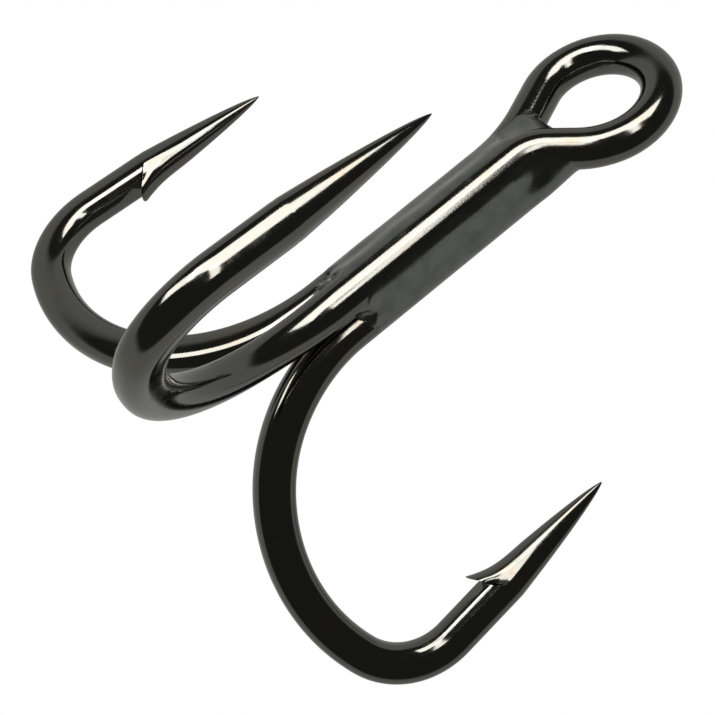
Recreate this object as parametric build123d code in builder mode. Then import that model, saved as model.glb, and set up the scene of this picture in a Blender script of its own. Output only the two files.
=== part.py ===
"""Treble hook: a long wire bent into two hooks with the eye in its middle, a single hook laid in
the groove between its two legs, and the braze that joins them.

The origin is the centre of the eye. +Z runs up the shank towards the eye, and the eye lies in the
XZ plane with its hole along Y. The three hooks stand at 120 degrees about Z, the first along +X.
"""

import os
from math import cos, radians, sin, sqrt

from build123d import *

os.makedirs("parts", exist_ok=True)

# Driving dimensions, in mm and degrees.
WIRE = 2.0                  # wire diameter
BRAZE_FILM = 0.03           # braze between neighbouring wires of the shank
EYE_RADIUS = 3.1            # centre line of the eye's ring
EYE_LEG_ANGLE = 26.4        # lean of the eye's straight legs from the shank
EYE_LEG_BEND = 8.0          # bend radius where the leg in the eye's plane leaves the shank
CROSSING_BEND = 4.2         # bend radius where the other leg leaves the shank
CROSSING_TOP_BEND = 5.0     # bend radius where that leg reaches the eye's plane
CROSSING_START = -4.7       # height at which that leg turns towards the eye's plane
CROSSING_END = 0.9          # length of leg left straight below the ring
BEND_START = -16.6          # height at which the hooks leave the shank
BENDS = ((9.4, 52.9), (10.6, 55.6), (3.8, 77.9))    # radius and turn, shank to point
POINT_LENGTH = 10.7         # from the end of the bend to the tip
TAPER_LENGTH = 6.9          # ground, tapered stretch of the point
TAPER_MIDDLE = 0.62         # radius half way along the taper, as a share of the wire's radius
TIP_RADIUS = 0.04
FORGED_THICKNESS = 1.74     # across the hook's plane, on the bend and point
FORGING_RUN = 3.0           # length over which the flats run out at the top of the bend
FORGING_START = 1.02        # half the gap between the flats where they start, in wire radii
HOOK_REACH = 24.0           # more than the reach of a hook from the shank's axis
SINGLE_HOOK_TOP = -5.0      # upper end of the single hook
SINGLE_HOOK_ROUNDING = 0.6  # radius on that end
BARB_TIP = (8.35, 1.75)                 # distance back from the tip, height above the centre line
BARB_RAMP = ((5.4, 0.75), (6.9, 1.1))   # outer side of the barb: its start, and half way along
BARB_CUT_ROOT = (7.25, 0.3)             # bottom of the chisel cut under the barb
BARB_CUT_EDGE = (8.6, 1.4)              # end of the cut's other side, away from the barb
BARB_WIDTH = 0.9
BRAZE_BOTTOM = -15.8        # lower end of the braze in the grooves
BRAZE_TOP = -6.2            # upper end of the braze in the grooves
GROOVE_FILL = 0.92          # height of a groove's braze over the wires' centres, in wire radii
FULL_GROOVE_FILL = 1.16     # the same at the fat lower end of the first groove
THROAT_TOP = -2.8           # lower edge of the eye's hole
THROAT_THICKNESS = 1.3
THROAT_EDGE_RISE = 1.1      # how far the throat's upper edge rises to the legs
END_RAMP_RADIUS = 0.9       # braze that runs from the single hook's end to the crossing leg
END_RAMP_TOP = (-1.66, 0.06, -3.05)     # where its middle meets that leg

RADIUS = WIRE / 2
PITCH = WIRE + BRAZE_FILM               # distance between neighbouring wire centres
SHANK_RADIUS = PITCH / sqrt(3)          # distance of each wire's centre from the axis
AZIMUTHS = {"first": 0, "second": 120, "single": 240}
UP = Vector(0, 0, 1)

# The hook lies in its own plane, with local x out from the shank and local y up.


def hook_plane(azimuth):
    """Return the plane of the hook at this azimuth."""
    out = Vector(1, 0, 0).rotate(Axis.Z, azimuth)
    return Plane(origin=(0, 0, 0), x_dir=out, z_dir=out.cross(UP))


def add_bend(azimuth, shank_top=None):
    """Sweep the wire round a hook's bend, and up the shank to shank_top where one is given."""
    with BuildLine(hook_plane(azimuth)) as centre_line:
        start = (SHANK_RADIUS, BEND_START)
        if shank_top is not None:
            Line((SHANK_RADIUS, shank_top), start)
        arc = None
        for bend_radius, turn in BENDS:
            if arc is None:
                arc = JernArc(start, (0, -1), bend_radius, turn)
            else:
                arc = JernArc(arc @ 1, arc % 1, bend_radius, turn)
        straight = Line(arc @ 1, arc @ 1 + (arc % 1) * (POINT_LENGTH - TAPER_LENGTH))
    with BuildSketch(Plane(origin=centre_line.line @ 0, z_dir=centre_line.line % 0)) as section:
        Circle(RADIUS)
    sweep(section.sketch, path=centre_line.line)
    return straight


def add_point(azimuth, straight):
    """Add the ground taper of a point and its barb, then flatten the sides of the bend."""
    plane = hook_plane(azimuth)
    backwards = -(straight % 1)
    tip = straight @ 1 + (straight % 1) * TAPER_LENGTH
    # Local x runs back from the tip, and y away from the barb.
    along = Plane(origin=tip, x_dir=backwards, z_dir=plane.z_dir)
    with BuildSketch(along) as taper:
        with BuildLine():
            ThreePointArc(
                (0, TIP_RADIUS), (TAPER_LENGTH / 2, TAPER_MIDDLE * RADIUS), (TAPER_LENGTH, RADIUS)
            )
            Polyline((TAPER_LENGTH, RADIUS), (TAPER_LENGTH, 0), (0, 0), (0, TIP_RADIUS))
        make_face()
    revolve(taper.sketch, axis=Axis(tip, backwards))

    barb_tip, root, cut_edge, ramp_start, ramp_middle = [
        (back, -height) for back, height in (BARB_TIP, BARB_CUT_ROOT, BARB_CUT_EDGE, *BARB_RAMP)
    ]
    with BuildSketch(along) as chisel_cut:
        Polygon(root, cut_edge, barb_tip, align=None)
    extrude(chisel_cut.sketch, amount=WIRE, both=True, mode=Mode.SUBTRACT)
    with BuildSketch(along) as barb:
        with BuildLine():
            ThreePointArc(ramp_start, ramp_middle, barb_tip)
            Polyline(barb_tip, root, ramp_start)
        make_face()
    extrude(barb.sketch, amount=BARB_WIDTH / 2, both=True)

    side_view = Plane(origin=(0, 0, 0), x_dir=plane.z_dir, z_dir=plane.x_dir)
    half = FORGED_THICKNESS / 2
    floor = -2 * abs(BEND_START)
    for side in (-1, 1):
        with BuildSketch(side_view) as waste:
            with BuildLine():
                Polyline(
                    (side * half, floor), (side * half, BEND_START - FORGING_RUN),
                    (side * FORGING_START * RADIUS, BEND_START), (side * WIRE, BEND_START),
                    (side * WIRE, floor), (side * half, floor),
                )
            make_face()
        extrude(waste.sketch, amount=HOOK_REACH, mode=Mode.SUBTRACT)


# The long wire: hook, shank, eye, shank, hook.
leg = radians(EYE_LEG_ANGLE)
leg_foot = (EYE_RADIUS * cos(leg), -EYE_RADIUS * sin(leg))     # x and z where the ring starts
leg_run = (leg_foot[0] - SHANK_RADIUS) / sin(leg)
first_corner = (leg_foot[0] - leg_run * sin(leg), leg_foot[1] - leg_run * cos(leg))
crossing_corner = (leg_foot[0] - CROSSING_END * sin(leg), leg_foot[1] - CROSSING_END * cos(leg))
first_foot = hook_plane(AZIMUTHS["first"]).from_local_coords((SHANK_RADIUS, BEND_START))
second_foot = hook_plane(AZIMUTHS["second"]).from_local_coords((SHANK_RADIUS, BEND_START))

with BuildPart() as eyed_double_hook:
    with BuildLine() as eye_line:
        FilletPolyline(
            first_foot,
            Vector(first_corner[0], 0, first_corner[1]),
            Vector(leg_foot[0], 0, leg_foot[1]),
            radius=EYE_LEG_BEND,
        )
        ThreePointArc(
            (leg_foot[0], 0, leg_foot[1]), (0, 0, EYE_RADIUS), (-leg_foot[0], 0, leg_foot[1])
        )
        FilletPolyline(
            Vector(-leg_foot[0], 0, leg_foot[1]),
            Vector(-crossing_corner[0], 0, crossing_corner[1]),
            Vector(second_foot.X, second_foot.Y, CROSSING_START),
            second_foot,
            radius=(CROSSING_TOP_BEND, CROSSING_BEND),
        )
    with BuildSketch(Plane(origin=first_foot, z_dir=UP)):
        Circle(RADIUS)
    sweep(path=eye_line.line)
    for hook in ("first", "second"):
        add_point(AZIMUTHS[hook], add_bend(AZIMUTHS[hook]))
eyed_double_hook.part.label = "eyed_double_hook"

# The single hook, its shank laid in the groove of the long wire's two legs.
with BuildPart() as single_hook:
    end_of_bend = add_bend(AZIMUTHS["single"], SINGLE_HOOK_TOP)
    rims = single_hook.edges().filter_by(GeomType.CIRCLE)
    fillet(rims.group_by(Axis.Z)[-1], SINGLE_HOOK_ROUNDING)
    add_point(AZIMUTHS["single"], end_of_bend)
single_hook.part.label = "single_hook"

shank_centres = [
    Vector(SHANK_RADIUS, 0, 0).rotate(Axis.Z, azimuth) for azimuth in AZIMUTHS.values()
]


def cut_wires():
    """Take the three wires of the shank out of the sketch being drawn."""
    with Locations(*shank_centres):
        Circle(RADIUS, mode=Mode.SUBTRACT)


# Braze in the channel between the three wires.
with BuildPart() as core_braze:
    with BuildSketch(Plane.XY.offset(BRAZE_BOTTOM)):
        Polygon(
            *[(a + b) * 0.5 for a, b in zip(shank_centres, shank_centres[1:] + shank_centres[:1])],
            align=None,
        )
        cut_wires()
    extrude(amount=BRAZE_TOP - BRAZE_BOTTOM)
core_braze.part.label = "core_braze"


def groove_prism(azimuth, fill):
    """Fill the groove that faces this azimuth, up to fill wire radii over the wires' centres."""
    out = Vector(1, 0, 0).rotate(Axis.Z, azimuth)
    side = Vector(0, 1, 0).rotate(Axis.Z, azimuth) * (PITCH / 2)
    bottom = out * (SHANK_RADIUS / 2)
    top = bottom + out * (fill * RADIUS)
    with BuildSketch(Plane.XY.offset(BRAZE_BOTTOM)) as section:
        Polygon(bottom, top - side, top + side, align=None)
        cut_wires()
    extrude(section.sketch, amount=BRAZE_TOP - BRAZE_BOTTOM)


# The groove of the long wire's own two legs is overfilled at its lower end.
with BuildPart() as long_wire_braze:
    groove_prism(60, FULL_GROOVE_FILL)
    out = Vector(1, 0, 0).rotate(Axis.Z, 60)
    low = out * (SHANK_RADIUS / 2 + FULL_GROOVE_FILL * RADIUS) + UP * BRAZE_BOTTOM
    high = out * (SHANK_RADIUS / 2 + GROOVE_FILL * RADIUS) + UP * SINGLE_HOOK_TOP
    skin = Plane(origin=low, x_dir=high - low, z_dir=(high - low).cross(out.cross(UP)))
    split(bisect_by=skin, keep=Keep.BOTTOM)
long_wire_braze.part.label = "long_wire_braze"

with BuildPart() as left_groove_braze:
    groove_prism(180, GROOVE_FILL)
left_groove_braze.part.label = "left_groove_braze"

with BuildPart() as right_groove_braze:
    groove_prism(300, GROOVE_FILL)
right_groove_braze.part.label = "right_groove_braze"

# The web of braze that closes the throat of the eye and runs down over the single hook's end.
with BuildPart() as throat_braze:
    with BuildSketch(Plane.XZ):
        with BuildLine():
            foot = SINGLE_HOOK_TOP
            half_top = leg_foot[0] - (leg_foot[1] - THROAT_TOP) * sin(leg) / cos(leg)
            ThreePointArc(
                (half_top, THROAT_TOP + THROAT_EDGE_RISE), (0, THROAT_TOP),
                (-half_top, THROAT_TOP + THROAT_EDGE_RISE),
            )
            Polyline(
                (-half_top, THROAT_TOP + THROAT_EDGE_RISE), (-SHANK_RADIUS / 2, foot),
                (SHANK_RADIUS, foot), (half_top, THROAT_TOP + THROAT_EDGE_RISE),
            )
        make_face()
    extrude(amount=THROAT_THICKNESS / 2, both=True)
    ramp_foot = shank_centres[2] + UP * (SINGLE_HOOK_TOP - SINGLE_HOOK_ROUNDING)
    ramp = Vector(*END_RAMP_TOP) - ramp_foot
    with BuildSketch(Plane(origin=ramp_foot, z_dir=ramp)):
        Circle(END_RAMP_RADIUS)
    extrude(amount=ramp.length)
    add(eyed_double_hook.part, mode=Mode.SUBTRACT)
    add(single_hook.part, mode=Mode.SUBTRACT)
throat_braze.part.label = "throat_braze"

for node in (
    eyed_double_hook, single_hook, core_braze, long_wire_braze, left_groove_braze,
    right_groove_braze, throat_braze,
):
    export_step(node.part, f"parts/{node.part.label}.step")
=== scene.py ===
"""Treble hook: the looks of a black nickel treble hook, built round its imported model.

The long wire and the single hook are swept tubes, forged flat on their bends, ground to points and
cut into barbs. The braze in the shank's grooves and in the throat of the eye is the smooth surface
that molten metal takes between the wires.
"""

import math

import bmesh
import bpy
import numpy as np
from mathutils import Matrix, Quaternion, Vector


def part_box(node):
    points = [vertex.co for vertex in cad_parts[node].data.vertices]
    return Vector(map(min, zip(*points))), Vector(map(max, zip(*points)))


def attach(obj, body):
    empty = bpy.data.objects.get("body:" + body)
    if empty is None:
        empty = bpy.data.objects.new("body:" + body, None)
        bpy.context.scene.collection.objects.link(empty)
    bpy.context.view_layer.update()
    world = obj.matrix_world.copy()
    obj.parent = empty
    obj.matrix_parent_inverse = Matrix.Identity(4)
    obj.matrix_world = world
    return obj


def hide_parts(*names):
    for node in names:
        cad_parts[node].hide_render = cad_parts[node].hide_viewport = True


bl_info = {
    "name": "Treble hook",
    "version": (1, 0, 0),
    "blender": (4, 5, 0),
    "location": "3D View > Sidebar > Treble hook",
    "description": "Builds a black nickel treble hook and a small studio round it",
    "category": "Add Mesh",
}

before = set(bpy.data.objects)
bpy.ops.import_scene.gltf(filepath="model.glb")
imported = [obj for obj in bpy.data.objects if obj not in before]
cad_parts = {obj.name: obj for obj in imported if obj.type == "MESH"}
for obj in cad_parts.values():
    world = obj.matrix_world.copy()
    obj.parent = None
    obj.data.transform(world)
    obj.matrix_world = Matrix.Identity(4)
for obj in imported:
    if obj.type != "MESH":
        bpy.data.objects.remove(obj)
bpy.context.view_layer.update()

MM = 0.001
UP = np.array([0.0, 0.0, 1.0])
LONG_WIRE_LOW, LONG_WIRE_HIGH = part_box("eyed_double_hook")
SINGLE_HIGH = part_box("single_hook")[1]
GROOVE_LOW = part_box("left_groove_braze")[0]

HOOK_AZIMUTHS = (0.0, 120.0, 240.0)
FIRST_AZIMUTH, SECOND_AZIMUTH, SINGLE_AZIMUTH = HOOK_AZIMUTHS

# Heights are over the eye's centre, and "back" is the distance back from a hook's tip.

WELD = 0.0004 * MM                  # points nearer than this are joined
SHARP_EDGE = math.radians(38)       # an edge that turns more stays sharp

# Rings of faces along the wires
FINE_PAST_CUT = 1.2                 # fine rings behind the barb's cut, in scoop lengths
FOLD_RINGS = 7                      # rings on each face of the barb's cut
POINT_STEP = 0.8                    # step on the ground point, in ring steps
TIP_RUN, TIP_STEP = 0.4 * MM, 0.05 * MM         # length of the very fine rings, and their step
END_STEP = 0.04 * MM                # step on the single hook's rounded end

# Shape of the wires
ALL_HOOK = 3                        # wire diameters from the shank's axis past which all is forged
TIP_CLOSES = (-0.05 * MM, 0.1 * MM)             # back: where the tip's own radius starts to count
FORGED_DEEPER = 0.03                # share that forging adds to the wire's depth
FORGED_FLATTER = 0.45               # 0 leaves the forged section an ellipse, more squares it

# Shape of the barbs
BARB_FOLD = 0.07 * MM               # path on each side of a barb's root that its cut faces take
BARB_RUN_OUT = 0.7 * MM             # past the root, where the barb is fully bent
BARB_POWER, PINCH_POWER = 4, 2      # how late the barb's bend and its narrowing come
DEEPEST, FARTHEST = 1.15, 1.3       # limits of a point's share of the depth and of the bend
GRIP = (0.0, 0.8)                   # shares of the depth between which the bend takes hold
PINCHED = (-0.1, 0.45)              # the same for the narrowing
SCOOP_RUN_OUT = 0.6 * MM            # past the root, where the scoop starts to fade
SCOOP_CROWN = 0.15                  # roundness left on the scoop

# Shape of the braze
HIDDEN = 0.004 * MM                 # depth at which a run of braze dips under the wires where it ends
LEAST_REACH = 1e-7                  # below this a blend is none
LINES_BELOW, LINES_TOP = 4 * MM, 1 * MM         # ends of the wires' lines: under the bend's start, and height
LINES_ASIDE = 3.5 * MM              # and their ends out along the hooks
LINE_POINTS = 60
SINGLE_END = 0.95                   # single hook's end over its line's end, in wire radii
RIPPLE_WAVES, RIPPLE_HEIGHT = 14, 4.0           # waves in a ripple, and what brings their sum to about 1

GROOVE_TOP = SINGLE_HIGH.z + 1.3 * MM
GROOVE_FADE = (SINGLE_HIGH.z - 0.4 * MM, SINGLE_HIGH.z + 1.1 * MM)      # where the long wire's braze ends
LONG_WIRE_DROP, PLAIN_DROP = 1.4 * MM, 1.2 * MM     # how far a run may hang below its lower end
LONG_WIRE_END, PLAIN_END = (-0.6 * MM, 0.4 * MM), (-0.45 * MM, 0.45 * MM)   # and where it fades there
RAGGED, RAGGED_SIZE, RAGGED_SEED = 0.25 * MM, 1.1 * MM, 3       # unevenness of that lower end
UNEVEN, UNEVEN_SIZE, UNEVEN_SEED = 0.03, 2.6 * MM, 8            # and of the fill, as a share of it
GROOVE_SKIN, LUMP_SKIN = 0.25 * MM, 0.12 * MM   # thin cover past a blend's edge, and past a lump's
GROOVE_DEPTH = -0.35 * MM           # a run's inner side, out from the shank's axis
GROOVE_MIDDLE, GROOVE_SIDE = 1.15 * MM, 2.0 * MM    # box round a run: its middle out, and half its side
BOX_MARGIN = 0.2 * MM
LONG_WIRE_TURNS = (60, 90)          # degrees from a groove's middle over which its braze fades
FAT_END = (0.8 * MM, 7.5 * MM)      # over the braze's lower end: the long wire's extra fill fades
LUMP_AZIMUTH, LUMP_OUT, LUMP_DROP = 72, 1.22 * MM, 0.55 * MM    # from the axis, and below the lower end
LUMP_RADIUS, LUMP_LENGTHEN, LUMP_BLEND = 0.5 * MM, 0.75, 0.3 * MM
LUMP_ROUGH, LUMP_ROUGH_SIZE, LUMP_ROUGH_SEED = 0.06 * MM, 0.42 * MM, 11

THROAT_LOW = SINGLE_HIGH.z - 1.5 * MM
THROAT_BOX = ((-2.9 * MM, -1.9 * MM, SINGLE_HIGH.z - 1.8 * MM), (3.6 * MM, 2.3 * MM, -2.15 * MM))
THROAT_SKIN = 0.15 * MM
HOLE_LOW = -2.75 * MM               # height of the eye's hole's lower end
HOLE_ROUNDING = 0.5 * MM
HOLE_EDGE = (HOLE_LOW - 0.9 * MM, HOLE_LOW - 0.2 * MM)      # heights over which the web sinks to the hole
HOLE_EDGE_SINK = 0.15 * MM
HOLE_BLEND = (HOLE_LOW - 0.9 * MM, HOLE_LOW - 0.1 * MM)     # heights over which it blends with the legs
WEB_FOOT = (THROAT_LOW + 0.3 * MM, THROAT_LOW + 1.7 * MM)   # heights over which it comes up from inside
WEB_FOOT_SINK = 0.4 * MM
RAMP_RADIUS, RAMP_THINNING = 0.985 * MM, 0.14 * MM
RAMP_THINS = (0.3, 1.0)             # shares of its climb over which the ramp thins
RAMP_FOOT = 1.2 * MM                # start of the ramp under the single hook's end
RAMP_TOP = np.array([-1.66, 0.06, -3.05]) * MM      # where the ramp's middle meets the second leg
RAMP_FADE = (RAMP_TOP[2] - 0.4 * MM, RAMP_TOP[2] + 0.1 * MM)
RAMP_HIGH = RAMP_TOP[2] + 0.5 * MM

# Finding the braze's surface
GRID_PARTS = 16                     # parts in which a grid is worked out, to save memory
LEVEL_ROUNDS = 3
NUDGE, LONGEST_MOVE = 0.05, 0.5     # in grid steps
LEAST_SLOPE = 0.25

# Where the finish changes
PITS_HEIGHTS = (-17.8 * MM, -16.0 * MM)         # heights over which the shank's pits start
PITS_OUT = (2.6 * MM, 4.2 * MM)                 # distances from the axis over which they end
CRUST_HEIGHTS = (-15.7 * MM, -16.1 * MM)        # heights over which the braze's lower end turns rough
ROOM_EDGE = (0.17, 0.0)             # cosines over which the dark room gives way to the backdrop

# Name, azimuth, elevation, width, height and tilt in degrees, and brightness over white.
SOFT_BOXES = (
    ("Soft box low", 78.8, -15.5, 38, 22, 52, 6.5),
    ("Soft box high", 94.0, 16.0, 50, 26, 60, 6.5),
    ("Strip light", 121.0, 10.8, 34, 10, -6, 6.0),
)


# Sizes and finishes


class TrebleWireSizes(bpy.types.PropertyGroup):
    """Sizes of the wires and of their hooks."""

    wire: bpy.props.FloatProperty(
        name="Wire", description="Diameter of the wire", default=2.0 * MM, unit="LENGTH", precision=5
    )
    film: bpy.props.FloatProperty(
        name="Braze film", description="Gap between neighbouring wires of the shank",
        default=0.03 * MM, unit="LENGTH", precision=6,
    )
    eye_leg_angle: bpy.props.FloatProperty(
        name="Eye leg angle", description="Lean of the eye's straight legs from the shank",
        default=math.radians(26.4), subtype="ANGLE",
    )
    eye_leg_bend: bpy.props.FloatProperty(
        name="Eye leg bend", description="Radius where the first leg leaves the shank",
        default=8.0 * MM, unit="LENGTH", precision=5,
    )
    crossing_bend: bpy.props.FloatProperty(
        name="Crossing bend", description="Radius where the second leg leaves the shank",
        default=2.4 * MM, unit="LENGTH", precision=5,
    )
    crossing_top_bend: bpy.props.FloatProperty(
        name="Crossing top bend", description="Radius where the second leg reaches the eye's plane",
        default=5.0 * MM, unit="LENGTH", precision=5,
    )
    crossing_start: bpy.props.FloatProperty(
        name="Crossing start", description="Height at which the second leg turns to the eye's plane",
        default=-4.7 * MM, unit="LENGTH", precision=5,
    )
    crossing_end: bpy.props.FloatProperty(
        name="Crossing end", description="Straight length of that leg below the ring",
        default=0.9 * MM, unit="LENGTH", precision=5,
    )
    bend_radii: bpy.props.FloatVectorProperty(
        name="Bend radii", description="Radii of a hook's bend, from the shank to the point",
        default=(9.4 * MM, 10.6 * MM, 3.8 * MM), size=3, unit="LENGTH", precision=5,
    )
    bend_turns: bpy.props.FloatVectorProperty(
        name="Bend turns", description="Turn of each stretch of a hook's bend",
        default=[math.radians(turn) for turn in (52.9, 55.6, 77.9)], size=3, subtype="EULER",
    )
    point: bpy.props.FloatProperty(
        name="Point", description="Length from the end of the bend to the tip",
        default=10.7 * MM, unit="LENGTH", precision=5,
    )
    point_trim: bpy.props.FloatVectorProperty(
        name="Point trim", description="How much longer each hook's point is ground: first, second, single",
        default=(0.26 * MM, -0.42 * MM, 0.28 * MM), size=3, unit="LENGTH", precision=5,
    )
    end_rounding: bpy.props.FloatProperty(
        name="End rounding", description="Rounding of the single hook's upper end",
        default=0.6 * MM, unit="LENGTH", precision=5,
    )
    taper: bpy.props.FloatProperty(
        name="Taper", description="Length of the ground taper",
        default=6.9 * MM, unit="LENGTH", precision=5,
    )
    taper_power: bpy.props.FloatProperty(
        name="Taper power", description="Below 1 the taper is full, as on a cut point", default=0.684
    )
    tip: bpy.props.FloatProperty(
        name="Tip", description="Radius of the very tip", default=0.03 * MM, unit="LENGTH", precision=6
    )
    forged_share: bpy.props.FloatProperty(
        name="Forged share", description="Thickness left across the bend, over the wire's diameter",
        default=0.87,
    )
    forging_run: bpy.props.FloatProperty(
        name="Forging run", description="Length over which the forging fades in below the shank",
        default=5.0 * MM, unit="LENGTH", precision=5,
    )
    sides: bpy.props.IntProperty(name="Sides", description="Faces round the wire", default=72)
    ring_step: bpy.props.FloatProperty(
        name="Ring step", description="Length of wire between rings of faces",
        default=0.16 * MM, unit="LENGTH", precision=5,
    )


class TrebleBarbSizes(bpy.types.PropertyGroup):
    """Sizes of a barb. Distances are back from the hook's tip, heights above the centre line."""

    lift_start: bpy.props.FloatProperty(
        name="Lift start", description="Where the barb starts to rise from the point",
        default=5.0 * MM, unit="LENGTH", precision=5,
    )
    root_back: bpy.props.FloatProperty(
        name="Root", description="Distance of the bottom of the chisel cut",
        default=7.25 * MM, unit="LENGTH", precision=5,
    )
    root_height: bpy.props.FloatProperty(
        name="Root height", description="Height of the bottom of the chisel cut",
        default=0.36 * MM, unit="LENGTH", precision=5,
    )
    cut_slope: bpy.props.FloatProperty(
        name="Cut slope", description="Distance back per height of the cut's side on the shank",
        default=1.15,
    )
    rise: bpy.props.FloatProperty(
        name="Rise", description="How far the barb's edge is lifted",
        default=0.74 * MM, unit="LENGTH", precision=5,
    )
    reach: bpy.props.FloatProperty(
        name="Reach", description="How far the barb's edge is drawn back",
        default=0.34 * MM, unit="LENGTH", precision=5,
    )
    pinch: bpy.props.FloatProperty(
        name="Pinch", description="How much narrower the barb is at its tip", default=0.25,
    )
    scoop_length: bpy.props.FloatProperty(
        name="Scoop length", description="Length of the flat that the chisel leaves behind the cut",
        default=2.3 * MM, unit="LENGTH", precision=5,
    )
    scoop_depth: bpy.props.FloatProperty(
        name="Scoop depth", description="Depth of that flat",
        default=0.13 * MM, unit="LENGTH", precision=5,
    )


class TrebleBrazeSizes(bpy.types.PropertyGroup):
    """How full the braze lies in the grooves, as the blend between neighbouring wires."""

    long_wire_fill: bpy.props.FloatProperty(
        name="Long wire fill", description="Blend in the groove of the long wire's two legs",
        default=1.8 * MM, unit="LENGTH", precision=5,
    )
    long_wire_extra: bpy.props.FloatProperty(
        name="Long wire extra", description="More blend at the fat lower end of that groove",
        default=0.1 * MM, unit="LENGTH", precision=5,
    )
    left_fill: bpy.props.FloatProperty(
        name="Left fill", description="Blend in the groove between the second and single hooks",
        default=1.78 * MM, unit="LENGTH", precision=5,
    )
    right_fill: bpy.props.FloatProperty(
        name="Right fill", description="Blend in the groove between the single and first hooks",
        default=1.72 * MM, unit="LENGTH", precision=5,
    )
    web_sink: bpy.props.FloatProperty(
        name="Web sink", description="Depth of the web in the eye's throat under the legs' crests",
        default=0.02 * MM, unit="LENGTH", precision=5,
    )
    web_hollow: bpy.props.FloatProperty(
        name="Web hollow", description="How much lower the web lies halfway between the legs",
        default=0.05 * MM, unit="LENGTH", precision=5,
    )
    web_blend: bpy.props.FloatProperty(
        name="Web blend", description="Blend between that web and the eye's legs",
        default=0.2 * MM, unit="LENGTH", precision=5,
    )
    ramp_fill: bpy.props.FloatProperty(
        name="Ramp fill", description="Fill beside the braze over the single hook's end; at 1 it is flat",
        default=0.95, min=0.0, max=1.0, subtype="FACTOR",
    )
    step: bpy.props.FloatProperty(
        name="Step", description="Size of the faces of the braze",
        default=0.085 * MM, unit="LENGTH", precision=6,
    )


class TrebleFinish(bpy.types.PropertyGroup):
    """Colours and gloss of the plating."""

    wire_colour: bpy.props.FloatVectorProperty(
        name="Wire", description="Black nickel on the wire", subtype="COLOR", size=4,
        default=(0.150, 0.152, 0.142, 1.0), min=0.0, max=1.0,
    )
    braze_colour: bpy.props.FloatVectorProperty(
        name="Braze", description="Black nickel on the braze", subtype="COLOR", size=4,
        default=(0.185, 0.192, 0.180, 1.0), min=0.0, max=1.0,
    )
    bloom_colour: bpy.props.FloatVectorProperty(
        name="Bloom", description="Faint brown bloom on the wire", subtype="COLOR", size=4,
        default=(0.165, 0.148, 0.120, 1.0), min=0.0, max=1.0,
    )
    mottle_colour: bpy.props.FloatVectorProperty(
        name="Mottle", description="Darker mottling of the braze", subtype="COLOR", size=4,
        default=(0.150, 0.158, 0.148, 1.0), min=0.0, max=1.0,
    )
    wire_roughness: bpy.props.FloatProperty(
        name="Wire roughness", description="Gloss of the wire, lower is glossier", default=0.085
    )
    braze_roughness: bpy.props.FloatProperty(
        name="Braze roughness", description="Gloss of the braze, lower is glossier", default=0.15
    )
    peel_depth: bpy.props.FloatProperty(
        name="Peel depth", description="Waviness of the polished wire",
        default=0.0014 * MM, unit="LENGTH", precision=6,
    )
    pit_depth: bpy.props.FloatProperty(
        name="Pit depth", description="Pits that the braze left on the shank",
        default=0.0025 * MM, unit="LENGTH", precision=6,
    )
    grain_depth: bpy.props.FloatProperty(
        name="Grain depth", description="Fine grain of the braze",
        default=0.004 * MM, unit="LENGTH", precision=6,
    )
    crust_depth: bpy.props.FloatProperty(
        name="Crust depth", description="Crust on the lower ends of the braze",
        default=0.06 * MM, unit="LENGTH", precision=6,
    )


class TrebleStudio(bpy.types.PropertyGroup):
    """The floor, the lights and the camera."""

    floor_colour: bpy.props.FloatVectorProperty(
        name="Floor", description="Colour of the floor", subtype="COLOR", size=4,
        default=(0.93, 0.93, 0.93, 1.0), min=0.0, max=1.0,
    )
    fill_colour: bpy.props.FloatVectorProperty(
        name="Fill", description="Light from all round on the floor", subtype="COLOR", size=4,
        default=(0.8, 0.8, 0.8, 1.0), min=0.0, max=1.0,
    )
    room_colour: bpy.props.FloatVectorProperty(
        name="Room", description="Dark room that the metal mirrors", subtype="COLOR", size=4,
        default=(0.050, 0.052, 0.045, 1.0), min=0.0, max=1.0,
    )
    backdrop_colour: bpy.props.FloatVectorProperty(
        name="Backdrop", description="Pale backdrop that the metal mirrors", subtype="COLOR", size=4,
        default=(0.44, 0.44, 0.42, 1.0), min=0.0, max=1.0,
    )
    room_azimuth: bpy.props.FloatProperty(
        name="Room azimuth", description="Direction of the dark room about the shank",
        default=math.radians(129.0), subtype="ANGLE",
    )
    room_elevation: bpy.props.FloatProperty(
        name="Room elevation", description="Height of the dark room, as an angle",
        default=math.radians(-5.9), subtype="ANGLE",
    )
    light_colour: bpy.props.FloatVectorProperty(
        name="Light", description="Colour of the soft boxes", subtype="COLOR", size=4,
        default=(1.0, 0.96, 0.92, 1.0), min=0.0, max=1.0,
    )
    light_distance: bpy.props.FloatProperty(
        name="Light distance", description="From the hook to the soft boxes", default=1.2, unit="LENGTH"
    )
    floor_size: bpy.props.FloatProperty(
        name="Floor size", description="Side of the floor", default=4.0, unit="LENGTH"
    )
    camera_target: bpy.props.FloatVectorProperty(
        name="Camera target", description="What the camera looks at",
        default=(-2.05 * MM, -1.15 * MM, -17.30 * MM), size=3, subtype="TRANSLATION", precision=5,
    )
    camera_distance: bpy.props.FloatProperty(
        name="Camera distance", description="From the camera to what it looks at",
        default=73.7 * MM, unit="LENGTH", precision=5,
    )
    camera_azimuth: bpy.props.FloatProperty(
        name="Camera azimuth", description="Direction of the camera about the shank",
        default=math.radians(130.95), subtype="ANGLE",
    )
    camera_elevation: bpy.props.FloatProperty(
        name="Camera elevation", description="Height of the camera, as an angle",
        default=math.radians(-8.39), subtype="ANGLE",
    )
    camera_roll: bpy.props.FloatProperty(
        name="Camera roll", description="Turn of the camera about its own line of sight",
        default=math.radians(50.7), subtype="ANGLE",
    )
    lens: bpy.props.FloatProperty(name="Lens", description="Focal length in mm", default=79.1)


# Paths


def unit(vector):
    """The vector at length 1."""
    return vector / np.linalg.norm(vector)


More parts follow.
